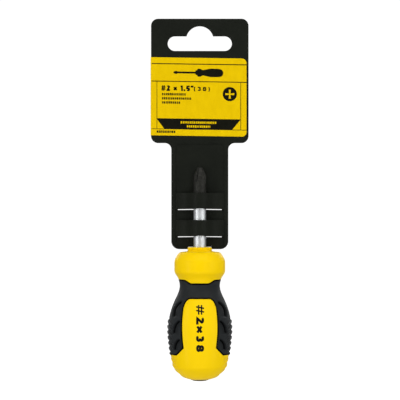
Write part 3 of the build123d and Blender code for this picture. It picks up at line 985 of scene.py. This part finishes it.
def dress():
    """Materials for the CAD pieces, and the pieces that replace or lie on them."""
    nodes = frame["nodes"]
    chrome_top = (COLLAR_Z + CHROME_HEIGHT) * MM
    paint(nodes["hanger_card"], card_finish())
    paint(nodes["handle_core"], core_finish())
    paint(nodes["blade"], blade_finish(chrome_top))
    shell = paint(make_shell(), yellow_finish())
    grip = paint(make_grip(), rubber_finish())
    sheet = paint(make_label_sheet(), label_finish("label_yellow", LABEL_YELLOW, 0.42))
    for piece, body, node, slot in (
        (shell, "screwdriver", "handle_shell", "yellow_plastic"),
        (grip, "screwdriver", "soft_grip", "grip_rubber"),
        (sheet, "hanger", "wrap_label", "label_paper"),
    ):
        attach(piece, body)
        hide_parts(node)
    ink, knockout = make_print()
    paint(ink, label_finish("label_black", ((17, 17, 11), (24, 24, 17)), 0.4))
    paint(knockout, label_finish("label_yellow_print", LABEL_YELLOW, 0.42))
    mark = make_handle_mark()
    paint(mark, label_finish("mark_black", ((22, 22, 20), (30, 30, 27)), 0.35))


# ---------------------------------------------------------------- stage, light and camera
# Width of the view at the tool, the camera's distance and the point it aims at, in metres
FRAME_WIDTH = 0.1912
CAMERA_AWAY = 1.15
AIM = Vector((0.0001, AXIS_Y * MM, -0.07494))

# Soft lights: name, azimuth, elevation, distance, width, height, radiance
LIGHTS = (
    ("key_top", 8, 50, 1.25, 1.3, 0.9, 1.75),
    ("strip_left", -54, 2, 1.2, 0.3, 1.5, 3.2),
    ("front_left", -20, 0, 1.4, 0.1, 1.2, 2.9),
    ("front_right", 25, 0, 1.4, 0.14, 1.2, 2.7),
    ("strip_right", 58, 2, 1.25, 0.5, 1.5, 1.6),
    ("low_fill", 0, -38, 1.2, 1.2, 0.5, 1.1),
    ("back_left", -158, 30, 1.3, 1.0, 1.0, 2.3),
    ("back_right", 158, 30, 1.3, 1.0, 1.0, 2.3),
)

# The studio's light from behind the object (0) round to straight in front of it (1): dim at both
# ends and brighter round the sides
STUDIO = ((0.0, 0.2), (0.2, 0.25), (0.5, 0.45), (0.85, 0.45), (0.97, 0.1), (1.0, 0.1))
BACKDROP = 1.05
FLOOR_Z, FLOOR_HALF, FLOOR_CELLS = -1.6, 40.0, 8
FLOOR_SEEN, FLOOR_GLOW = 0.8, 0.05


def aim_at(obj, target):
    obj.rotation_mode = "QUATERNION"
    obj.rotation_quaternion = (target - obj.location).to_track_quat("-Z", "Y")


def softbox(name, azimuth, elevation, away, width, height, radiance):
    """A soft light, azimuth to the right of the camera, as bright as a surface of that radiance."""
    light = bpy.data.lights.new(name, "AREA")
    light.shape = "RECTANGLE"
    light.size, light.size_y = width, height
    light.energy = radiance * math.pi * width * height
    obj = bpy.data.objects.new(name, light)
    bpy.context.scene.collection.objects.link(obj)
    a, e = math.radians(azimuth), math.radians(elevation)
    obj.location = AIM + Vector((math.sin(a) * math.cos(e), -math.cos(a) * math.cos(e), math.sin(e))) * away
    aim_at(obj, AIM)
    obj.visible_camera = False
    return obj


def make_world():
    """White where the camera sees it, and the studio's soft light everywhere else."""
    world = bpy.data.worlds.new("studio")
    world.use_nodes = True
    nodes, links = world.node_tree.nodes, world.node_tree.links
    seen, fill = nodes["Background"], nodes.new("ShaderNodeBackground")
    for background in (seen, fill):
        background.inputs["Color"].default_value = (1, 1, 1, 1)
    seen.inputs["Strength"].default_value = BACKDROP
    where = nodes.new("ShaderNodeTexCoord")
    ahead = nodes.new("ShaderNodeVectorMath")
    ahead.operation = "DOT_PRODUCT"
    ahead.inputs[1].default_value = (0.0, -1.0, 0.0)
    fade = nodes.new("ShaderNodeFloatCurve")
    curve = fade.mapping.curves[0]
    curve.points[0].location, curve.points[1].location = STUDIO[0], STUDIO[-1]
    for at in STUDIO[1:-1]:
        curve.points.new(*at)
    fade.mapping.update()
    share = nodes.new("ShaderNodeMapRange")
    share.inputs["From Min"].default_value = -1.0
    links.new(where.outputs["Generated"], ahead.inputs[0])
    links.new(ahead.outputs["Value"], share.inputs["Value"])
    links.new(share.outputs["Result"], fade.inputs["Value"])
    links.new(fade.outputs["Value"], fill.inputs["Strength"])
    path, pick = nodes.new("ShaderNodeLightPath"), nodes.new("ShaderNodeMixShader")
    links.new(path.outputs["Is Camera Ray"], pick.inputs[0])
    links.new(fill.outputs[0], pick.inputs[1])
    links.new(seen.outputs[0], pick.inputs[2])
    links.new(pick.outputs[0], nodes["World Output"].inputs["Surface"])
    return world


def make_floor():
    """A wide pale floor well below the hanging tool."""
    mesh = bpy.data.meshes.new("floor")
    build = bmesh.new()
    bmesh.ops.create_grid(build, x_segments=FLOOR_CELLS, y_segments=FLOOR_CELLS, size=FLOOR_HALF)
    for vertex in build.verts:
        vertex.co.z = FLOOR_Z
    build.to_mesh(mesh)
    build.free()
    floor = bpy.data.objects.new("floor", mesh)
    bpy.context.scene.collection.objects.link(floor)
    f = Finish("pale_floor", Roughness=0.8, Specular_IOR_Level=0.1)
    f.shader.inputs["Emission Color"].default_value = (1, 1, 1, 1)
    seen = f.node("ShaderNodeLightPath").outputs["Is Camera Ray"]
    f.set("Emission Strength", f.spread_value(seen, FLOOR_GLOW, FLOOR_SEEN, 0.0, 1.0))
    f.set("Base Color", f.ramp(f.noise(2, 3), [(0.3, (0.86, 0.86, 0.86, 1)), (0.7, (0.9, 0.9, 0.9, 1))]))
    paint(floor, f.material)


def make_camera():
    """Straight in front of the tool and level with it."""
    data = bpy.data.cameras.new("camera")
    data.sensor_width = 36.0
    data.lens = data.sensor_width * CAMERA_AWAY / FRAME_WIDTH
    camera = bpy.data.objects.new("camera", data)
    bpy.context.scene.collection.objects.link(camera)
    camera.location = AIM + Vector((0, -CAMERA_AWAY, 0))
    aim_at(camera, AIM)
    bpy.context.scene.camera = camera


def make_stage():
    scene = bpy.context.scene
    scene.view_settings.view_transform = "Standard"
    scene.view_settings.look = "None"
    scene.world = make_world()
    for light in LIGHTS:
        softbox(*light)
    make_floor()
    make_camera()


dress()
make_stage()
